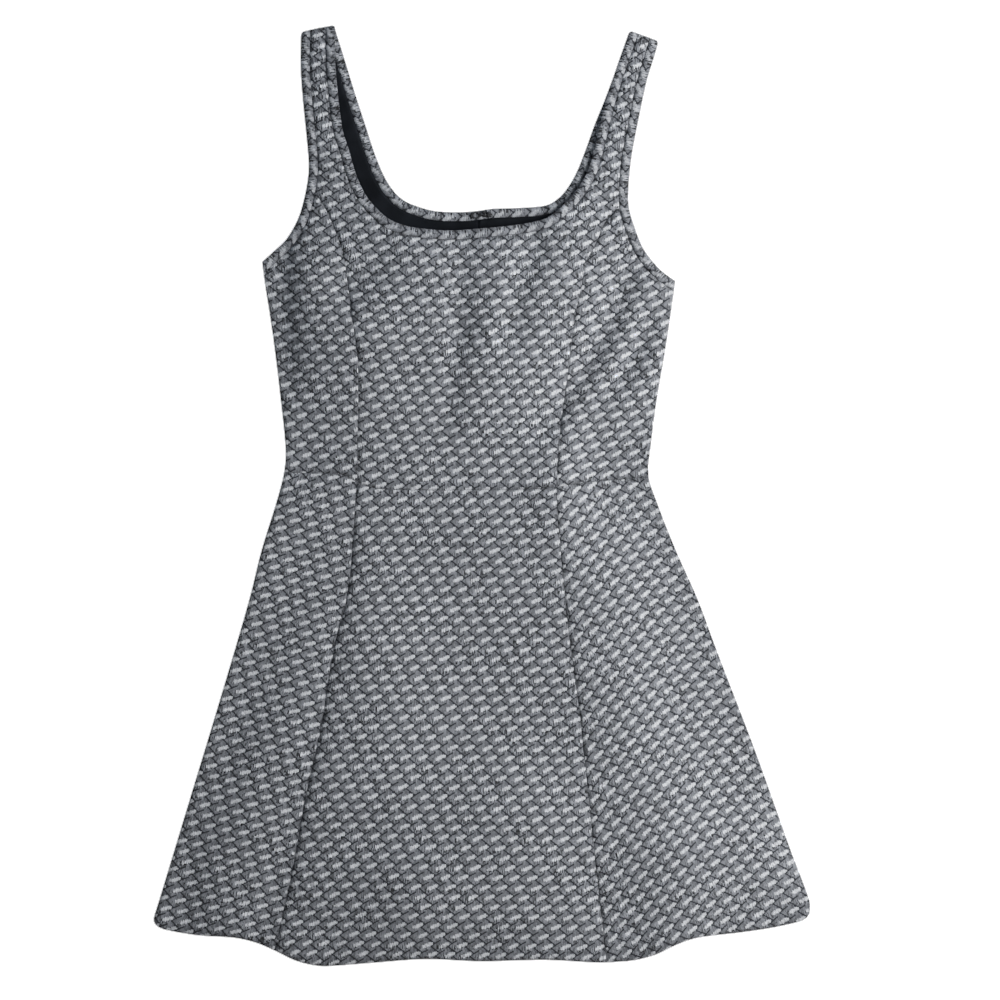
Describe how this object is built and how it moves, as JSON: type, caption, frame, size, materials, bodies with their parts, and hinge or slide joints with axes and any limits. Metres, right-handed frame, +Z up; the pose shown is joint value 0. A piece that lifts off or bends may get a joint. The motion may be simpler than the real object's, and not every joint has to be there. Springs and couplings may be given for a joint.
{
  "type": "fit and flare dress, laid flat",
  "caption": "Sleeveless knit dress laid flat, front up: fitted bodice with wide straps and a scooped neck, princess seams and a flared gored skirt; narrow bands edge the neck and armholes.",
  "frame": {"origin": "centre of the bounding box, on the surface that the dress lies on", "axes": "+Z up from that surface through the front of the dress; +Y from hem to neck; +X to the right of someone looking down on the front"},
  "size_m": [0.6145, 0.8808, 0.0187],
  "materials": {
    "knit": "matt grey, black and off-white jacquard knit with a small basket repeat",
    "band": "matt folded band of the same knit",
    "lining": "smooth matt black lining",
    "metal": "black enamelled wire"
  },
  "bodies": {
    "root": {"front_bodice_centre": "knit", "front_bodice_left": "knit", "front_bodice_right": "knit", "front_skirt_centre": "knit", "front_skirt_left": "knit", "front_skirt_right": "knit", "back_bodice_left": "knit", "back_bodice_right": "knit", "back_skirt_left": "knit", "back_skirt_right": "knit", "neck_band_front": "band", "neck_band_back_left": "band", "neck_band_back_right": "band", "armhole_band_left_front": "band", "armhole_band_left_back": "band", "armhole_band_right_front": "band", "armhole_band_right_back": "band", "back_lining_left": "lining", "back_lining_right": "lining", "hook": "metal", "eye": "metal"}
  },
  "joints": []
}
